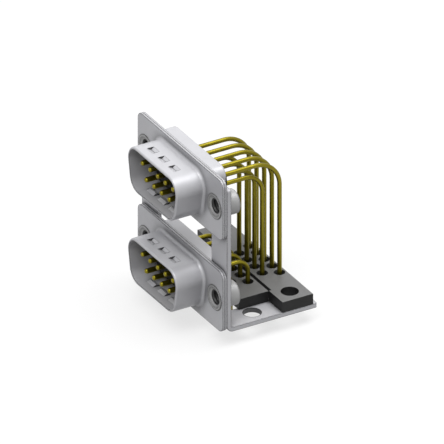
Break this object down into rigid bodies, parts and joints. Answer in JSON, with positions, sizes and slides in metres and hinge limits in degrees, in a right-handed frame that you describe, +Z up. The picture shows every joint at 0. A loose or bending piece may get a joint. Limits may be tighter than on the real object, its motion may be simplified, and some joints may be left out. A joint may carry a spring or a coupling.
{
  "type": "right-angle d-sub connector",
  "caption": "Stacked right-angle D-sub board connector: two male plugs one above the other on angle brackets, with bent solder tails.",
  "frame": {"origin": "centre of the four board screw holes, on the printed circuit board's top face", "axes": "+Z up from the board, -Y the plugging direction (plugs face -Y), +X to the right as seen from the front"},
  "size_m": [0.0308, 0.0257, 0.0346],
  "materials": {
    "plated_steel": "satin nickel or tin plate",
    "insert_metal": "satin nickel plate",
    "gold_plating": "gold flash on brass",
    "black_plastic": "glass-filled, matt"
  },
  "bodies": {
    "root": {"lower_front_shell": "plated_steel", "lower_rear_shell": "plated_steel", "lower_front_insulator": "black_plastic", "lower_rear_insulator": "black_plastic", "lower_contact_1": "gold_plating", "lower_contact_2": "gold_plating", "lower_contact_3": "gold_plating", "lower_contact_4": "gold_plating", "lower_contact_5": "gold_plating", "lower_contact_6": "gold_plating", "lower_contact_7": "gold_plating", "lower_contact_8": "gold_plating", "lower_contact_9": "gold_plating", "upper_front_shell": "plated_steel", "upper_rear_shell": "plated_steel", "upper_front_insulator": "black_plastic", "upper_rear_insulator": "black_plastic", "upper_contact_1": "gold_plating", "upper_contact_2": "gold_plating", "upper_contact_3": "gold_plating", "upper_contact_4": "gold_plating", "upper_contact_5": "gold_plating", "upper_contact_6": "gold_plating", "upper_contact_7": "gold_plating", "upper_contact_8": "gold_plating", "upper_contact_9": "gold_plating", "left_bracket": "plated_steel", "right_bracket": "plated_steel", "threaded_inserts": "insert_metal", "front_spacer": "black_plastic", "rear_spacer": "black_plastic"}
  },
  "joints": []
}
